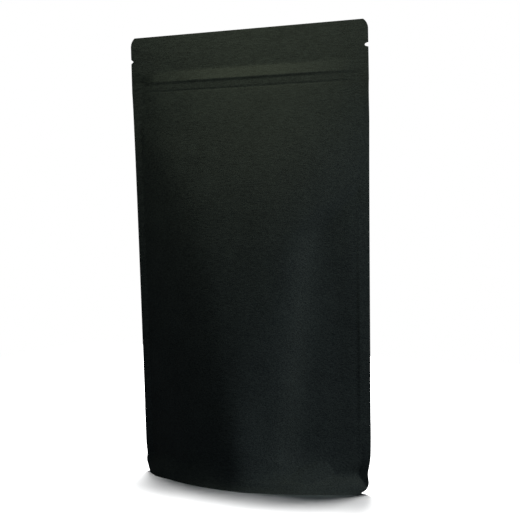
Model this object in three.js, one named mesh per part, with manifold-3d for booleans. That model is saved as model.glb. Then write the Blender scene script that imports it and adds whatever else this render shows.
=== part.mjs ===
// A black kraft stand-up pouch, shut by its press-to-close zip and standing on its opened base.
// One closed solid in millimetres, +Z up. X runs across the pouch, the front panel faces -Y,
// and the origin is on the surface that the pouch stands on, under the middle of its base.

import * as THREE from 'three';
import { mergeVertices } from 'three/addons/utils/BufferGeometryUtils.js';
import Module from 'manifold-3d';

const wasm = await Module();
wasm.setup();

// The blank, as it lies flat
const WIDTH = 190;
const HEIGHT = 320;
const SIDE_SEAL = 6;          // heat-sealed strip down each side
const BASE_SEAL = 5;          // heat-sealed strip along the base rim
const GUSSET = 50;            // each half of the folded base sheet
const SHEET = 0.8;            // front and back sheets pressed together
const LEAF = 0.7;             // a panel with its half of the base sheet

// The pouch as it stands
const BASE_HALF_DEPTH = 29.4; // at the middle of the rim
const BASE_FLARE = 2.6;       // part of that which the rim turns outwards
const FLARE_HEIGHT = 18;      // the flare dies away over this height
const CROWN_FALL = 0.62;      // how late the belly closes towards the zip
const ARCH = 1.82;            // roundness of a level section, 2 is a parabola
const DRAWN_IN = 4;           // the bulge draws each side in by this at the base
const DRAWN_FALL = 0.68;

// Sides, corners and notches
const TACK_HEIGHT = 14;       // front and back are tacked together here
const TACK_PINCH = 1;
const TACK_REACH = 4;
const CORNER_SPLAY = 3;       // the leaves stand apart below the tack
const SPLAY_CURVE = 1.5;
const SEAL_FLAT_FROM = 45;
const BASE_CORNER = 9;
const TOP_CORNER = 8;
const TOP_CORNER_INSET = 3.5; // the arc meets the top edge at a slight point
const NOTCH_HEIGHT = 303;
const LEFT_NOTCH = { depth: 2, height: 3.2 };
const RIGHT_NOTCH = { depth: 2.7, height: 2.6 };

// Zip relief, from the level below it to the top of its upper track
const ZIP_FOOT = 280;
const ZIP_LEDGE = 281.4;
const ZIP_STEP = 285.4;
const ZIP_RIDGE = 287;
const ZIP_TOP = 295.2;
const LEDGE_RELIEF = 0.5;
const RIDGE_RELIEF = 1.3;
const ZIP_END = 5;            // the relief runs out over this length at each seal

// The dent in the front panel, right of an upright ridge and under a slanting crease
const RIDGE_X = 46;
const RIDGE_WIDTH = 9;
const DENT_DEPTH = 3;
const DENT_FOOT = 55;
const CREASE = { x: 46, z: 179, slope: 0.71, drop: 12 };

// Facets
const COLUMNS = 30;
const ROW_STEP = 9.5;
const KEY_HEIGHTS = [0, 1.5, 4, BASE_CORNER, TACK_HEIGHT, 20, 28, 50, 270, 277, ZIP_FOOT,
  ZIP_LEDGE, ZIP_STEP, ZIP_RIDGE, 291, ZIP_TOP, 297, 313.4, 316, 318.4, HEIGHT];
const RECESS_COLUMNS = 28;
const RECESS_ROWS = 7;
const FOLD = 0.3;             // half thickness of the space at the base sheet's fold

const clamp = THREE.MathUtils.clamp;

function ease(from, to, value) {
  return THREE.MathUtils.smoothstep(value, from, to);
}

// How far an arc of this radius falls short of its tangent, at a distance past the tangent point
function arcInset(radius, past) {
  return radius - Math.sqrt(radius ** 2 - clamp(past, 0, radius) ** 2);
}

// Half the width at a height, before the base corners are rounded
function halfSpan(z) {
  const drawnIn = DRAWN_IN * clamp(1 - z / ZIP_FOOT, 0, 1) ** DRAWN_FALL;
  const pinch = TACK_PINCH * Math.exp(-(((z - TACK_HEIGHT) / TACK_REACH) ** 2));
  return WIDTH / 2 - drawnIn - pinch;
}

function halfWidth(z) {
  const cornerStart = HEIGHT - Math.sqrt(TOP_CORNER ** 2 - (TOP_CORNER - TOP_CORNER_INSET) ** 2);
  return halfSpan(z) - arcInset(BASE_CORNER, BASE_CORNER - z) - arcInset(TOP_CORNER, z - cornerStart);
}

// Half the thickness along the side edge: a flat seal whose leaves part below the tack
function edgeDepth(z) {
  return SHEET / 2 + CORNER_SPLAY * clamp(1 - z / TACK_HEIGHT, 0, 1) ** SPLAY_CURVE;
}

// Depth at the middle of the pouch, from the rim to the zip
function middleDepth(z) {
  const wall = BASE_HALF_DEPTH - BASE_FLARE + BASE_FLARE * Math.exp(-z / FLARE_HEIGHT);
  return wall * clamp(1 - z / ZIP_FOOT, 0, 1) ** CROWN_FALL;
}

// A level section: side seals, which lie flat above the base, with an arch between them
function archedDepth(x, z) {
  const seal = SIDE_SEAL * ease(0, SEAL_FLAT_FROM, z);
  const reach = clamp(Math.abs(x) / (halfSpan(z) - seal), 0, 1);
  const crown = Math.max(middleDepth(z) - edgeDepth(z), 0);
  return edgeDepth(z) + crown * (1 - reach ** ARCH);
}

function zipRelief(x, z) {
  const profile = [[ZIP_FOOT, 0], [ZIP_LEDGE, LEDGE_RELIEF], [ZIP_STEP, LEDGE_RELIEF],
    [ZIP_RIDGE, RIDGE_RELIEF], [ZIP_TOP, 0]];
  const next = profile.findIndex(([level]) => level > z);
  if (next < 1) return 0;
  const [lowZ, low] = profile[next - 1];
  const [highZ, high] = profile[next];
  const relief = THREE.MathUtils.mapLinear(z, lowZ, highZ, low, high);
  return relief * ease(0, ZIP_END, WIDTH / 2 - SIDE_SEAL - Math.abs(x));
}

function dent(x, z) {
  const creaseZ = CREASE.z + CREASE.slope * (x - CREASE.x);
  const under = ease(0, CREASE.drop, creaseZ - z) * ease(DENT_FOOT, creaseZ - CREASE.drop, z);
  const inner = halfSpan(z) - SIDE_SEAL;
  const across = ease(RIDGE_X, RIDGE_X + RIDGE_WIDTH, x) * ease(0, RIDGE_WIDTH * 2, inner - x);
  return DENT_DEPTH * under * across;
}

function frontDepth(x, z) {
  return archedDepth(x, z) + zipRelief(x, z) - dent(x, z);
}

function backDepth(x, z) {
  return archedDepth(x, z) + zipRelief(x, z);
}

// Fills the gaps between rising key levels with even steps no longer than the longest allowed
function fillLevels(keys, longest) {
  const levels = [keys[0]];
  for (let i = 1; i < keys.length; i += 1) {
    const steps = Math.ceil((keys[i] - keys[i - 1]) / longest);
    for (let k = 1; k <= steps; k += 1) {
      levels.push(THREE.MathUtils.lerp(keys[i - 1], keys[i], k / steps));
    }
  }
  return levels;
}

// A divided box, 2 across, 2 deep and as high as its rows, with every corner moved by place()
function warpedBox(columns, rows, place) {
  const box = new THREE.BoxGeometry(2, 2, rows, columns, 1, rows);
  box.translate(0, 0, rows / 2);
  box.deleteAttribute('normal');
  box.deleteAttribute('uv');
  const shape = mergeVertices(box, 1e-4);
  const points = shape.getAttribute('position');
  for (let i = 0; i < points.count; i += 1) {
    points.setXYZ(i, ...place(points.getX(i), Math.sign(points.getY(i)), Math.round(points.getZ(i))));
  }
  return shape;
}

// The shut pouch without its base recess: side -1 is the front and 1 the back
function pouchBlank() {
  const levels = fillLevels(KEY_HEIGHTS, ROW_STEP);
  return warpedBox(COLUMNS, levels.length - 1, (across, side, row) => {
    const z = levels[row];
    const x = across * halfWidth(z);
    return [x, side < 0 ? -frontDepth(x, z) : backDepth(x, z), z];
  });
}

// Height of the base sheet's fold, which the opened rim pulls down
function foldHeight(x) {
  return Math.sqrt(GUSSET ** 2 - frontDepth(x, 0) ** 2);
}

// The recess ends at the fold, or lower where the leaves close on each other at the sides
function recessTop(x) {
  let z = foldHeight(x);
  while (frontDepth(x, z) < LEAF + FOLD) z -= 0.5;
  return z;
}

// The tent under the folded base sheet: upright along the rim's seal, then sloping to the fold
function baseRecess() {
  const below = 2;
  const past = 4;
  const reach = halfSpan(0) + past;
  return warpedBox(RECESS_COLUMNS, RECESS_ROWS, (across, side, row) => {
    const x = reach * Math.sin(across * Math.PI / 2);
    const sealX = clamp(x, -halfSpan(0), halfSpan(0));
    const top = recessTop(sealX);
    const sealed = Math.min(BASE_SEAL, top / 2);
    const levels = [-below, 0, sealed];
    while (levels.length <= RECESS_ROWS) {
      levels.push(THREE.MathUtils.lerp(sealed, top, (levels.length - 2) / (RECESS_ROWS - 2)));
    }
    const z = levels[row];
    const slope = clamp((top - z) / (top - sealed), 0, 1);
    const space = (frontDepth(sealX, Math.max(z, 0)) - LEAF - FOLD) * slope + FOLD;
    return [x, side * space, z];
  });
}

function notch(side, { depth, height }, corners) {
  const outside = 3;
  const outline = new THREE.Shape();
  outline.moveTo(outside, -height / 2);
  outline.lineTo(0, -height / 2);
  for (let i = 1; i < corners; i += 1) {
    const angle = -Math.PI / 2 + Math.PI * i / corners;
    outline.lineTo(-depth * Math.cos(angle), height / 2 * Math.sin(angle));
  }
  outline.lineTo(0, height / 2);
  outline.lineTo(outside, height / 2);
  outline.closePath();
  const cutter = new THREE.ExtrudeGeometry(outline, { depth: SIDE_SEAL, bevelEnabled: false });
  cutter.translate(0, 0, -SIDE_SEAL / 2);
  cutter.rotateX(Math.PI / 2);
  if (side < 0) cutter.rotateZ(Math.PI);
  cutter.translate(side * halfWidth(NOTCH_HEIGHT), 0, NOTCH_HEIGHT);
  return cutter;
}

function toSolid(geometry) {
  const bare = geometry.clone();
  bare.deleteAttribute('normal');
  bare.deleteAttribute('uv');
  const merged = mergeVertices(bare, 1e-4);
  const vertProperties = new Float32Array(merged.getAttribute('position').array);
  const triVerts = new Uint32Array(merged.index.array);
  return new wasm.Manifold(new wasm.Mesh({ numProp: 3, vertProperties, triVerts }));
}

function toGeometry(solid) {
  const { vertProperties, triVerts } = solid.getMesh();
  const geometry = new THREE.BufferGeometry();
  geometry.setAttribute('position', new THREE.BufferAttribute(vertProperties, 3));
  geometry.setIndex(new THREE.BufferAttribute(triVerts, 1));
  geometry.computeVertexNormals();
  return geometry;
}

function pouch() {
  const cutters = [baseRecess(), notch(-1, LEFT_NOTCH, 2), notch(1, RIGHT_NOTCH, 6)];
  const solid = cutters.reduce((rest, cutter) => rest.subtract(toSolid(cutter)), toSolid(pouchBlank()));
  const blackKraft = new THREE.MeshStandardMaterial({ color: 0x24272a, roughness: 0.6, metalness: 0 });
  const mesh = new THREE.Mesh(toGeometry(solid), blackKraft);
  mesh.name = 'pouch';
  return mesh;
}

const model = new THREE.Group();
model.name = 'stand_up_pouch';
model.add(pouch());

export default model;
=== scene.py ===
import math

import bpy
from mathutils import Matrix, Vector


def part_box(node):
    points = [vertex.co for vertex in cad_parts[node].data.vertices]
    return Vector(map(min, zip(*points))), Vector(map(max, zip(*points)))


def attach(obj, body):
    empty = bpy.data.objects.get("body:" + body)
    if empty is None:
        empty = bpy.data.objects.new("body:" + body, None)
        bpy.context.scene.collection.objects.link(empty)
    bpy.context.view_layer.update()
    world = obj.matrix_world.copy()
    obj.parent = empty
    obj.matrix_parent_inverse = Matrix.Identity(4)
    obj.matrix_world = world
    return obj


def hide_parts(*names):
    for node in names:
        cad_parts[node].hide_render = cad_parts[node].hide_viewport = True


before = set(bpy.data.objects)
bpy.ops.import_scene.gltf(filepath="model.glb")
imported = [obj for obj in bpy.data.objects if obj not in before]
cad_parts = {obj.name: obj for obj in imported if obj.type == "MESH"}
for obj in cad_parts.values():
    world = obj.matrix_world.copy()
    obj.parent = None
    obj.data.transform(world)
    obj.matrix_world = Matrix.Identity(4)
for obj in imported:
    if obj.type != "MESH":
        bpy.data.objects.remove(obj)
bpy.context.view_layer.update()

# A black kraft stand-up pouch, made of the sheets that the real one is welded from:
# a front panel, a back panel and a folded base sheet. Sizes are in millimetres until
# a sheet is placed. Depth is how far a panel stands out from the pouch's middle plane.
mm = 0.001
cadLow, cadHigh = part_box("pouch")

pouch = dict(
    width=(cadHigh.x - cadLow.x) / mm,
    height=cadHigh.z / mm,
    rimDepth=cadHigh.y / mm,        # at the middle of the opened base
    ply=0.2,                        # one sheet
    gap=0.01,                       # the air between two sheets that touch
    sideSeal=6,
    drawnIn=4, drawnFall=0.68,      # the bulge draws the sides in
    gusset=50,                      # each half of the folded base sheet
    zipFoot=280,                    # the belly is closed from here up
)


def clamp(value, low=0.0, high=1.0):
    return max(low, min(high, value))


def ease(low, high, value):
    t = clamp((value - low) / (high - low))
    return t * t * (3 - 2 * t)


def softStep(value, centre, width):
    return 0.5 + 0.5 * math.tanh((value - centre) / width)


def hump(value, centre, width):
    return math.exp(-((value - centre) / width) ** 2)


# Points are (place, amount), with straight lines between them
def along(points, at):
    for (low, a), (high, b) in zip(points, points[1:]):
        if low <= at <= high:
            return a + (b - a) * (at - low) / (high - low)
    return points[0][1] if at < points[0][0] else points[-1][1]


# The outline
corners = dict(
    leftBaseRadius=10, rightBaseRadius=9,
    topRadius=8, topInset=3.5,              # the arc meets the top edge at a slight point
    tackHeight=14, tackPinch=0.5, tackReach=4,
    rightFootIn=1.2, rightFootTop=28,       # the right corner stands in a little
    notchHeight=303,
    leftNotch=(2.0, 1.6), rightNotch=(2.7, 1.3),    # depth, half height
)


def tackHump(z):
    return hump(z, corners["tackHeight"], corners["tackReach"])


def halfSpan(z):
    drawn = pouch["drawnIn"] * clamp(1 - z / pouch["zipFoot"]) ** pouch["drawnFall"]
    return pouch["width"] / 2 - drawn - corners["tackPinch"] * tackHump(z)


# How far inside the side seal a point is
def insideSeal(x, z):
    return halfSpan(z) - pouch["sideSeal"] - abs(x)


def arcInset(radius, past):
    return radius - math.sqrt(radius ** 2 - clamp(past, 0, radius) ** 2)


# A V on the left, and rounder on the right
def notchInset(z, side):
    depth, reach = corners["leftNotch"] if side < 0 else corners["rightNotch"]
    off = clamp(abs(z - corners["notchHeight"]) / reach)
    return depth * (1 - off if side < 0 else math.sqrt(1 - off * off))


def edgeX(z, side):
    radius, inset = corners["topRadius"], corners["topInset"]
    topStart = pouch["height"] - math.sqrt(radius ** 2 - (radius - inset) ** 2)
    baseRadius = corners["leftBaseRadius"] if side < 0 else corners["rightBaseRadius"]
    footIn = 0 if side < 0 else corners["rightFootIn"] * ease(
        corners["rightFootTop"], corners["tackHeight"], z)
    rounded = arcInset(baseRadius, baseRadius - z) + arcInset(radius, z - topStart)
    return halfSpan(z) - footIn - rounded - notchInset(z, side)


# Two sheets a side are sealed together up to the base sheet's fold, and one above it,
# with a soft step between: (from, to) across the panel, and from the fold's height up
foot = dict(
    stepAcross=(14, 2), stepAbove=(0.6, -1.2),
    splay=0.9, splayCurve=1.5,              # the leaves part below the tack
    openSeal=5, openSealTop=3,              # the front leaf isn't flat along its seal there
    dent=1.6, dentHeight=5, dentWidth=9,    # the tack pulls both panels in
)


def edgeDepth(x, z):
    stepTop, stepEnd = (pouch["gusset"] + off for off in foot["stepAbove"])
    plies = 1 + ease(*foot["stepAcross"], insideSeal(x, z)) * ease(stepTop, stepEnd, z)
    plies -= tackHump(z)
    splay = foot["splay"] * clamp(1 - z / corners["tackHeight"]) ** foot["splayCurve"]
    return pouch["gap"] + pouch["ply"] * plies + splay


# The belly: the arch that both panels make from seal to seal
belly = dict(
    flare=2.4, flareHeight=16,      # the rim turns out a little
    lip=2.4, lipHeight=5,           # and its sealed edge more
    closing=0.52, knee=0.7, kneePower=6,        # how it closes towards the zip
    rimArch=1.82, arch=1.14, archBlend=20,      # powers of the arch, at the rim and above it
    leftRise=1.45, rightRise=1.95, rise=1.15,   # and what they gain towards the zip
    crest=-6, softness=0.06,        # where the arch is highest, and how blunt it is
    sealBlend=3,
)


def middleDepth(z):
    t = clamp(z / pouch["zipFoot"])
    wall = pouch["rimDepth"] + belly["flare"] * (math.exp(-z / belly["flareHeight"]) - 1)
    wall += belly["lip"] * (math.exp(-z / belly["lipHeight"]) - 1)
    return wall * (1 - t) ** belly["closing"] * (1 - belly["knee"] * t ** belly["kneePower"])


def archedDepth(x, z, leftRise, rightRise, openSeal):
    seal = pouch["sideSeal"] - openSeal * ease(corners["tackHeight"], foot["openSealTop"], z)
    across = clamp(x / (halfSpan(z) - seal), -1, 1)
    across = clamp(abs(across - belly["crest"] * 2 / pouch["width"] * (1 - across ** 2)))
    soft = belly["softness"]
    across = (math.hypot(across, soft) - soft) / (math.hypot(1, soft) - soft)
    rise = (leftRise if x < 0 else rightRise) * clamp(z / pouch["zipFoot"]) ** belly["rise"]
    bend = belly["arch"] + (belly["rimArch"] - belly["arch"]) * math.exp(-z / belly["archBlend"]) + rise
    edge = edgeDepth(x, z)
    dent = foot["dent"] * hump(z, corners["tackHeight"], foot["dentHeight"])
    dent *= hump(halfSpan(z) - abs(x), 0, foot["dentWidth"])
    return max(edge, edge + max(middleDepth(z) - edge, 0) * (1 - across ** bend) - dent)


# The zip stands out most at the left and middle
zipTrack = dict(
    relief=[(250, 0), (279.2, 0.8), (280.2, 0.72), (281.2, 0.98), (285.2, 0.9), (287, 1.55), (294.2, 0.1),
            (296, 0)],
    rounding=0.3, endFade=14,
    rightFall=0.6, rightSpan=(20, 85),
)


def zipRelief(x, z):
    offsets = (-zipTrack["rounding"], 0, zipTrack["rounding"])
    raised = sum(along(zipTrack["relief"], z + off) for off in offsets) / len(offsets)
    fromEnd = pouch["width"] / 2 - pouch["sideSeal"] - abs(x)
    fall = 1 - zipTrack["rightFall"] * ease(*zipTrack["rightSpan"], x)
    return raised * fall * ease(0, zipTrack["endFade"], fromEnd)


# Folds are (start, end, depth, width), where a negative depth is a ridge.
# The ends of the base sheet's fold show in the side seals.
sealMarks = [
    ((80.6, 44), (87, 50), -0.25, 1.2),
    ((-87, 50), (-80.6, 44), -0.25, 1.2),
]
frontFolds = sealMarks + [
    ((48, 178), (86, 205), 0.35, 4.5),      # the slanting crease
    ((-86, 270), (-64, 277.5), 0.25, 2.2),  # a pucker under the zip's left end
    ((54, 38), (69, 37), 0.1, 2.5),
    ((9, 26), (31, 19.5), -0.12, 2.0),
    ((5, 6), (48, 6.5), -0.15, 1.6),
    ((6, 0), (2, 42), -1.2, 13),            # the belly turns to the right more sharply near the rim
    ((-76, -2), (-70, 6), -2.2, 9),         # the left foot's round
]
backFolds = sealMarks + [
    ((-60, 196), (-84, 214), 0.3, 4.5),
    ((30, 60), (44, 24), 0.2, 5),
]


def foldDepth(x, z, folds):
    total = 0
    for (x0, z0), (x1, z1), depth, width in folds:
        runX, runZ = x1 - x0, z1 - z0
        t = clamp(((x - x0) * runX + (z - z0) * runZ) / (runX ** 2 + runZ ** 2))
        total += depth * hump(math.hypot(x - x0 - t * runX, z - z0 - t * runZ), 0, width)
    return total


# The front panel's slack is a hollow right of a steep line, under a slanting top edge,
# with a broad dip beside the right seal and a low shoulder down the left
hollow = dict(
    x=42.5, atHeight=100, lean=0.12, width=10,      # the steep line
    top=176, atX=46, topSlope=0.71, topWidth=5,     # the top edge
    depth=5.6, low=0.7, mid=65, midWidth=26,        # shallower low down
    sideFade=44, footFade=30,
)
dip = dict(x=71.5, z=109, width=14, height=75, depth=1.65)
shoulder = dict(
    depth=1.2, width=25, footFade=30, topFade=(262, 230),
    line=[(0, 3), (8, 2), (63, -7), (118, -16), (145, -24), (173, -33), (202, -45), (227, -60), (262, -85)],
)


def hollowDepth(x, z):
    line = hollow["x"] + hollow["lean"] * (z - hollow["atHeight"])
    top = hollow["top"] + hollow["topSlope"] * (x - hollow["atX"])
    up = softStep(-z, -top, hollow["topWidth"]) * ease(0, hollow["footFade"], z)
    up *= hollow["low"] + (1 - hollow["low"]) * softStep(z, hollow["mid"], hollow["midWidth"])
    fromSeal = halfSpan(z) - pouch["sideSeal"] - x
    deep = hollow["depth"] * up * softStep(x, line, hollow["width"]) * ease(0, hollow["sideFade"], fromSeal)
    return deep + dip["depth"] * hump(x, dip["x"], dip["width"]) * hump(z, dip["z"], dip["height"])


def shoulderDepth(x, z):
    ridge = hump(x, along(shoulder["line"], z), shoulder["width"])
    return shoulder["depth"] * ridge * ease(0, shoulder["footFade"], z) * ease(*shoulder["topFade"], z)


def frontDepth(x, z):
    free = ease(0, belly["sealBlend"], insideSeal(x, z))
    slackness = shoulderDepth(x, z) - hollowDepth(x, z)
    shape = archedDepth(x, z, belly["leftRise"], belly["rightRise"], foot["openSeal"])
    return max(shape + free * slackness + zipRelief(x, z) - foldDepth(x, z, frontFolds), edgeDepth(x, z))


def backDepth(x, z):
    shape = archedDepth(x, z, belly["leftRise"], belly["leftRise"], 0)
    return max(shape + zipRelief(x, z) - foldDepth(x, z, backFolds), edgeDepth(x, z))


# The right side seal leans back, and takes both panels with it
sealLean = dict(slope=0.22, reach=8, footSpan=(10, 40), topSpan=(280, 250))


def leanBack(x, z):
    past = clamp(x - halfSpan(z) + pouch["sideSeal"], 0, sealLean["reach"])
    return sealLean["slope"] * past * ease(*sealLean["footSpan"], z) * ease(*sealLean["topSpan"], z)


# Each sheet is a strip of columns, extruded up level by level. Levels are (from, to, step).
sheets = dict(
    columns=64,
    sealColumns=0.2, sealStrip=8.5,         # this share of them lies within this width of the sides
    smoothAngle=50,
)
panelLevels = [
    (0, 4, 0.8), (4, 20, 1.6), (20, 278, 2.6), (278, 288, 0.5), (288, 294, 1.5),
    (294, 296.4, 0.4), (296.4, 301, 1.5), (301, 305, 0.5), (305, 313, 2), (313, 320, 1),
]


def deselectAll():
    bpy.ops.object.select_all(action="DESELECT")


def pick(sheet):
    deselectAll()
    sheet.select_set(True)
    bpy.context.view_layer.objects.active = sheet


def startEdit(sheet, action):
    pick(sheet)
    bpy.ops.object.mode_set(mode="EDIT")
    bpy.ops.mesh.select_mode(type="VERT")
    bpy.ops.mesh.select_all(action=action)


def endEdit():
    bpy.ops.object.mode_set(mode="OBJECT")


def heightsOf(levels):
    heights = [levels[0][0]]
    for low, high, step in levels:
        count = round((high - low) / step)
        heights += [low + (high - low) * (i + 1) / count for i in range(count)]
    return heights


# Half of a plane is deleted, and the edge that is left becomes the strip.
# Every face is divided once more at the end.
def extrudedSheet(name, levels):
    heights = heightsOf(levels)
    deselectAll()
    bpy.ops.mesh.primitive_plane_add(size=2, location=(0, 0, heights[0] * mm))
    sheet = bpy.context.object
    sheet.name = sheet.data.name = name
    bpy.ops.object.transform_apply(location=True, rotation=False, scale=False)
    startEdit(sheet, "DESELECT")
    endEdit()
    for vert in sheet.data.vertices:
        vert.select = vert.co.y > 0
    bpy.ops.object.mode_set(mode="EDIT")
    bpy.ops.mesh.delete(type="VERT")
    bpy.ops.mesh.select_all(action="SELECT")
    bpy.ops.transform.translate(value=(0, 1, 0))
    bpy.ops.mesh.subdivide(number_cuts=sheets["columns"] - 1)
    for low, high in zip(heights, heights[1:]):
        bpy.ops.mesh.extrude_region_move(TRANSFORM_OT_translate={"value": (0, 0, (high - low) * mm)})
    bpy.ops.mesh.select_all(action="SELECT")
    bpy.ops.mesh.subdivide(number_cuts=1)
    endEdit()
    return sheet


# From a column's place on the strip, -1 to 1, to its x
def spreadColumn(across, edge):
    inner, strip = 1 - sheets["sealColumns"], sheets["sealStrip"]
    past = abs(across) - inner
    x = abs(across) / inner * (edge - strip) if past < 0 else edge - strip * (1 - past / (1 - inner))
    return math.copysign(x, across)


def formSheet(sheet, place, faceOut):
    for vert in sheet.data.vertices:
        vert.co = Vector(place(vert.co.x, vert.co.z / mm)) * mm
    startEdit(sheet, "SELECT")
    bpy.ops.mesh.normals_make_consistent(inside=False)
    endEdit()
    if sum(face.normal.dot(faceOut(face.center)) for face in sheet.data.polygons) < 0:
        startEdit(sheet, "SELECT")
        bpy.ops.mesh.flip_normals()
        endEdit()


def modify(sheet, kind, **settings):
    pick(sheet)
    modifier = sheet.modifiers.new(kind.lower(), kind)
    for key, value in settings.items():
        setattr(modifier, key, value)
    bpy.ops.object.modifier_apply(modifier=modifier.name)


def finishSheet(sheet):
    for material in (blackKraft, cutEdge):
        sheet.data.materials.append(material)
    modify(sheet, "SOLIDIFY", thickness=pouch["ply"] * mm, offset=-1, material_offset_rim=1,
           use_even_offset=True)
    pick(sheet)
    bpy.ops.object.shade_smooth_by_angle(angle=math.radians(sheets["smoothAngle"]))
    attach(sheet, "root")
    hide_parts("pouch")
    print("made", sheet.name, len(sheet.data.polygons), "faces")


# A wire is a node's output, and sums on wires add Math nodes
class Wire:
    def __init__(self, nodes, socket):
        self.nodes, self.socket = nodes, socket

    def maths(self, operation, first, second):
        return self.nodes.add("ShaderNodeMath", {"operation": operation}, {0: first, 1: second})

    def __add__(self, other):
        return self.maths("ADD", self, other)

    def __radd__(self, other):
        return self.maths("ADD", other, self)

    def __sub__(self, other):
        return self.maths("SUBTRACT", self, other)

    def __rsub__(self, other):
        return self.maths("SUBTRACT", other, self)

    def __mul__(self, other):
        return self.maths("MULTIPLY", self, other)

    def __rmul__(self, other):
        return self.maths("MULTIPLY", other, self)


# Sockets whose names repeat on a node are given by number
class Nodes:
    def __init__(self, owner):
        owner.use_nodes = True
        self.tree = owner.node_tree
        self.tree.nodes.clear()

    def add(self, kind, settings, sockets, out=0):
        made = self.tree.nodes.new(kind)
        for key, value in settings.items():
            setattr(made, key, value)
        for key, value in sockets.items():
            if isinstance(value, Wire):
                self.tree.links.new(value.socket, made.inputs[key])
            else:
                made.inputs[key].default_value = value
        return Wire(self, made.outputs[out]) if made.outputs else None

    def point(self):
        return self.add("ShaderNodeTexCoord", {}, {}, out="Object")

    def noise(self, point, scale, detail, roughness=0.55):
        return self.add("ShaderNodeTexNoise", {}, {
            "Vector": point, "Scale": scale, "Detail": detail, "Roughness": roughness})

    def part(self, point, axis):
        return self.add("ShaderNodeSeparateXYZ", {}, {"Vector": point}, out=axis)

    def rise(self, value, low, high):
        return self.add("ShaderNodeMapRange", {}, {"Value": value, "From Min": low, "From Max": high})

    def blend(self, factor, first, second):
        return self.add("ShaderNodeMix", {"data_type": "RGBA"}, {0: factor, 6: first, 7: second}, out=2)

    def cameraSees(self, seen, unseen):
        camera = self.add("ShaderNodeLightPath", {}, {}, out="Is Camera Ray")
        return self.add("ShaderNodeMixShader", {}, {0: camera, 1: unseen, 2: seen})


# Fibres in two slants, a fine grain and a broad mottle. Scales are per metre,
# and the zip's band, given in metres, is pressed smoother.
kraft = dict(
    dark=(0.0030, 0.0036, 0.0038, 1), light=(0.0215, 0.0238, 0.0226, 1), middle=0.5, contrast=5.4,
    fibreAngle=0.6, fibreScale=(220, 1800, 1800), fibreDetail=3, fibreShare=0.25,
    grain=1400, grainDetail=2, grainShare=0.4,
    mottle=55, mottleDetail=3, mottleShare=0.1,
    roughness=0.6, roughnessSpread=0.12, specular=0.25,
    bump=1.0, bumpHeight=0.0003, fibreRelief=0.25, grainRelief=0.5,
    bandGloss=0.26, bandFoot=(0.2866, 0.2876), bandTop=(0.2955, 0.2935), bandRight=(0.09, 0.01),
)
edgeFuzz = dict(dark=(0.010, 0.011, 0.011, 1), light=(0.028, 0.028, 0.026, 1), scale=2500, detail=2,
                roughness=0.8, specular=0.2)


def makeBlackKraft():
    material = bpy.data.materials.new("blackKraft")
    nodes = Nodes(material)
    point = nodes.point()
    fibres = []
    for angle in (kraft["fibreAngle"], -kraft["fibreAngle"]):
        turned = nodes.add("ShaderNodeMapping", {}, {
            "Vector": point, "Rotation": (0, angle, 0), "Scale": kraft["fibreScale"]})
        fibres.append(nodes.noise(turned, 1, kraft["fibreDetail"]))
    grain = nodes.noise(point, kraft["grain"], kraft["grainDetail"])
    mottle = nodes.noise(point, kraft["mottle"], kraft["mottleDetail"])
    mixed = kraft["fibreShare"] * fibres[0] + kraft["fibreShare"] * fibres[1]
    mixed = mixed + kraft["grainShare"] * grain + kraft["mottleShare"] * mottle
    uneven = mixed - kraft["middle"]
    tone = uneven * kraft["contrast"] + kraft["middle"]
    height = kraft["fibreRelief"] * fibres[0] + kraft["fibreRelief"] * fibres[1]
    height = height + kraft["grainRelief"] * grain
    up, across = nodes.part(point, "Z"), nodes.part(point, "X")
    band = nodes.rise(up, *kraft["bandFoot"]) * nodes.rise(up, *kraft["bandTop"])
    band = band * nodes.rise(across, *kraft["bandRight"])
    shell = nodes.add("ShaderNodeBsdfPrincipled", {}, {
        "Base Color": nodes.blend(tone, kraft["dark"], kraft["light"]),
        "Roughness": kraft["roughness"] + kraft["roughnessSpread"] * uneven - kraft["bandGloss"] * band,
        "Specular IOR Level": kraft["specular"],
        "Normal": nodes.add("ShaderNodeBump", {}, {
            "Strength": kraft["bump"], "Distance": kraft["bumpHeight"], "Height": height}),
    })
    nodes.add("ShaderNodeOutputMaterial", {}, {"Surface": shell})
    return material


def makeCutEdge():
    material = bpy.data.materials.new("cutEdge")
    nodes = Nodes(material)
    fuzz = nodes.noise(nodes.point(), edgeFuzz["scale"], edgeFuzz["detail"])
    shell = nodes.add("ShaderNodeBsdfPrincipled", {}, {
        "Base Color": nodes.blend(fuzz, edgeFuzz["dark"], edgeFuzz["light"]),
        "Roughness": edgeFuzz["roughness"],
        "Specular IOR Level": edgeFuzz["specular"],
    })
    nodes.add("ShaderNodeOutputMaterial", {}, {"Surface": shell})
    return material


blackKraft = makeBlackKraft()
cutEdge = makeCutEdge()
print("mixed the materials")

# Slack film is never quite even: it waves a little wherever it isn't sealed
waves = dict(height=0.15, size=0.022, sideFade=12, footSpan=(6, 30), topFade=20)
filmWaves = bpy.data.textures.new("filmWaves", "CLOUDS")
filmWaves.noise_scale = waves["size"]
filmWaves.noise_depth = 1


def waveFilm(sheet):
    film = sheet.vertex_groups.new(name="film")
    top = pouch["zipFoot"]
    for vert in sheet.data.vertices:
        x, z = vert.co.x / mm, vert.co.z / mm
        weight = ease(0, waves["sideFade"], insideSeal(x, z)) * ease(*waves["footSpan"], z)
        film.add([vert.index], weight * ease(top, top - waves["topFade"], z), "REPLACE")
    modify(sheet, "DISPLACE", texture=filmWaves, texture_coords="LOCAL", strength=waves["height"] * mm,
           mid_level=0.5, vertex_group="film")
    sheet.vertex_groups.clear()


def makePanel(name, side, depthAt):
    sheet = extrudedSheet(name, panelLevels)

    def place(across, z):
        x = spreadColumn(across, edgeX(z, across))
        return x, side * depthAt(x, z) + leanBack(x, z), z

    formSheet(sheet, place, lambda centre: Vector((0, side, 0)))
    waveFilm(sheet)
    finishSheet(sheet)
    return sheet


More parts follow.
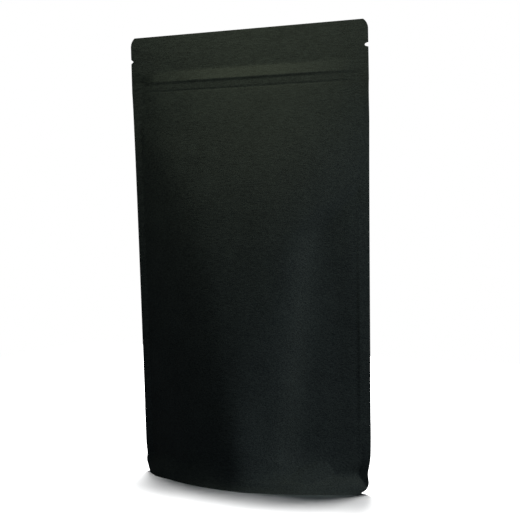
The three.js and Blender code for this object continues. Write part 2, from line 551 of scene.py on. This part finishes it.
frontPanel = makePanel("frontPanel", -1, frontDepth)
backPanel = makePanel("backPanel", 1, backDepth)

# The base sheet runs from the front rim up to its fold, and down to the back rim.
# It is welded to the panels along the rim, and that seal turns up towards the side seals.
base = dict(
    levels=[(-50, -48, 0.8), (-48, -2, 2.3), (-2, 2, 0.5), (2, 48, 2.3), (48, 50, 0.8)],
    seal=5, sealRise=38, sealCurve=7, sealSpanHeight=20,
    holeRadius=5,                   # the panels are tacked together through it
    foldRadius=0.15, foldRun=2,
    downward=0.2,                   # its outer face looks down and to the middle
)


def foldHeight(x):
    return math.sqrt(pouch["gusset"] ** 2 - frontDepth(x, 0) ** 2)


def sealTop(x):
    across = clamp(abs(x) / (halfSpan(base["sealSpanHeight"]) - pouch["sideSeal"]))
    return base["seal"] + base["sealRise"] * across ** base["sealCurve"]


def placeBase(across, run):
    side = -1 if run < 0 else 1
    z = pouch["gusset"] - abs(run)
    bite = math.sqrt(max(base["holeRadius"] ** 2 - (z - corners["tackHeight"]) ** 2, 0))
    x = spreadColumn(across, edgeX(z, across) - bite)
    top = sealTop(x)
    depthAt = frontDepth if side < 0 else backDepth
    depth = max(depthAt(x, min(z, top)) - 2 * pouch["ply"], pouch["gap"] / 2)
    if z > top:
        t = (z - top) / (pouch["gusset"] - top)
        fold = base["foldRadius"] * max(1 - (run / base["foldRun"]) ** 2, 0)
        depth += (fold - depth) * t
        z = top + (foldHeight(x) - top) * t
    return x, side * max(depth, 0) + leanBack(x, z), z


def makeBaseSheet():
    sheet = extrudedSheet("baseSheet", base["levels"])
    formSheet(sheet, placeBase, lambda centre: Vector((0, -centre.y, -base["downward"])))
    finishSheet(sheet)
    return sheet


baseSheet = makeBaseSheet()

# The studio, in metres
view = dict(azimuth=29.17, elevation=3.78, roll=-1.29, distance=0.8954, aim=(0.0093, 0, 0.1588),
            lens=88.36, sensor=36)
floorPlan = dict(size=1.2, tone=0.8, unseenTone=0.02)
air = dict(white=(1, 1, 1, 1), seen=1.0, tint=(0.8, 1, 1.15, 1), glow=0.04)

# Each light is soft, and lights either the pouch or the floor that it stands on
white = (1, 1, 1)
lightsAim = (0, 0, 0.16)
lights = dict(
    keySoftbox=dict(place=(0.846, 0, 0.468), size=0.5, power=12.3, colour=(0.85, 1, 0.95), on="pouch"),
    topSoftbox=dict(place=(-0.015, -0.111, 0.34), size=0.22, power=0.225, colour=(0.88, 1, 0.68), on="pouch"),
    frontSoftbox=dict(place=(0.216, -1.176, 0.22), size=0.5, power=1.4, colour=(0.45, 0.7, 1), on="pouch"),
    backSoftbox=dict(place=(-0.7, 1.1, 0.8), size=0.8, power=14, colour=white, on="pouch"),
    floorSoftbox=dict(place=(-0.312, 0.54, 2.934), size=0.6, power=193, colour=white, on="floor"),
    floorRightSoftbox=dict(place=(0.413, 0.716, 2.884), size=0.6, power=69, colour=white, on="floor"),
    floorLeftSoftbox=dict(place=(-0.973, 0.562, 2.782), size=0.25, power=24, colour=white, on="floor"),
)


def makeFloor():
    deselectAll()
    bpy.ops.mesh.primitive_plane_add(size=floorPlan["size"], location=(0, 0, 0))
    floor = bpy.context.object
    floor.name = "floor"
    material = bpy.data.materials.new("paleFloor")
    nodes = Nodes(material)
    pale, dim = (nodes.add("ShaderNodeBsdfDiffuse", {}, {"Color": (tone, tone, tone, 1)})
                 for tone in (floorPlan["tone"], floorPlan["unseenTone"]))
    nodes.add("ShaderNodeOutputMaterial", {}, {"Surface": nodes.cameraSees(pale, dim)})
    floor.data.materials.append(material)
    return floor


# The camera sees white air, which throws only a little light on the pouch
def makeAir():
    world = bpy.data.worlds.new("studioAir")
    bpy.context.scene.world = world
    nodes = Nodes(world)
    bright = nodes.add("ShaderNodeBackground", {}, {"Color": air["white"], "Strength": air["seen"]})
    glow = nodes.add("ShaderNodeBackground", {}, {"Color": air["tint"], "Strength": air["glow"]})
    nodes.add("ShaderNodeOutputWorld", {}, {"Surface": nodes.cameraSees(bright, glow)})


def makeCamera():
    azimuth, elevation, roll = (math.radians(view[key]) for key in ("azimuth", "elevation", "roll"))
    back = Vector((math.sin(azimuth) * math.cos(elevation), -math.cos(azimuth) * math.cos(elevation),
                   math.sin(elevation)))
    level = Vector((math.cos(azimuth), math.sin(azimuth), 0))
    right = level * math.cos(roll) + back.cross(level) * math.sin(roll)
    turn = Matrix((right, back.cross(right), back)).transposed().to_euler()
    deselectAll()
    bpy.ops.object.camera_add(location=Vector(view["aim"]) + back * view["distance"], rotation=turn)
    camera = bpy.context.object
    camera.name = "camera"
    camera.data.lens = view["lens"]
    camera.data.sensor_width = view["sensor"]
    bpy.context.scene.camera = camera


def litBy(name, objects):
    group = bpy.data.collections.new(name)
    for item in objects:
        group.objects.link(item)
    return group


def makeLights(lit):
    for name, light in lights.items():
        place = Vector(light["place"])
        turn = (place - Vector(lightsAim)).to_track_quat("Z", "Y").to_euler()
        deselectAll()
        bpy.ops.object.light_add(type="AREA", location=place, rotation=turn)
        lamp = bpy.context.object
        lamp.name = name
        lamp.visible_camera = False
        lamp.data.size = light["size"]
        lamp.data.energy = light["power"]
        lamp.data.color = light["colour"]
        lamp.light_linking.receiver_collection = lit[light["on"]]


floor = makeFloor()
makeAir()
litPouch = litBy("litPouch", (frontPanel, backPanel, baseSheet))
litFloor = litBy("litFloor", (floor,))
makeLights(dict(pouch=litPouch, floor=litFloor))
makeCamera()
bpy.context.scene.view_settings.view_transform = "Standard"
print("set up the studio")
